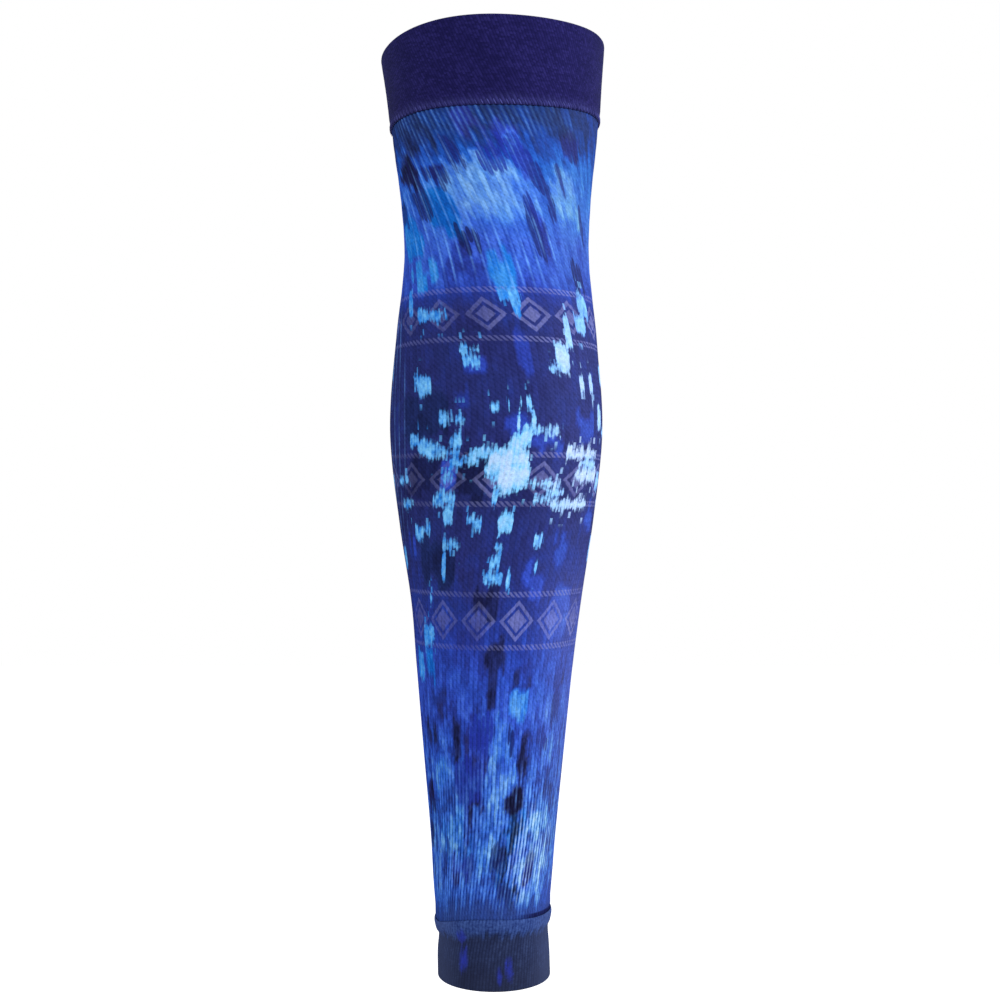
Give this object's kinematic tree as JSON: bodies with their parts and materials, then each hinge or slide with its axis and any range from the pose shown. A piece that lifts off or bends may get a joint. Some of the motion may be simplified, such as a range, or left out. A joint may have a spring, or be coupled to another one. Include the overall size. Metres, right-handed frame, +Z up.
{
  "type": "arm compression sleeve",
  "caption": "Ribbed knitted arm compression sleeve, open at both ends, with a folded upper-arm band and a rolled wrist cuff, in the form it has when worn.",
  "frame": {"origin": "middle of the elbow, on the axis of the arm that fills the sleeve", "axes": "+Z up the arm towards the shoulder, -Y the front seen in the picture, +X to the right as seen from the front"},
  "size_m": [0.0967, 0.0995, 0.4015],
  "materials": {
    "printed_knit": "fine ribbed stretch knit with an abstract blue print, matt",
    "band_knit": "plain navy double-layer knit, matt",
    "cuff_knit": "dark slate-blue fine rib knit with a few blue flecks, matt"
  },
  "bodies": {
    "root": {"sleeve_body": "printed_knit", "upper_band": "band_knit", "wrist_cuff": "cuff_knit"}
  },
  "joints": []
}
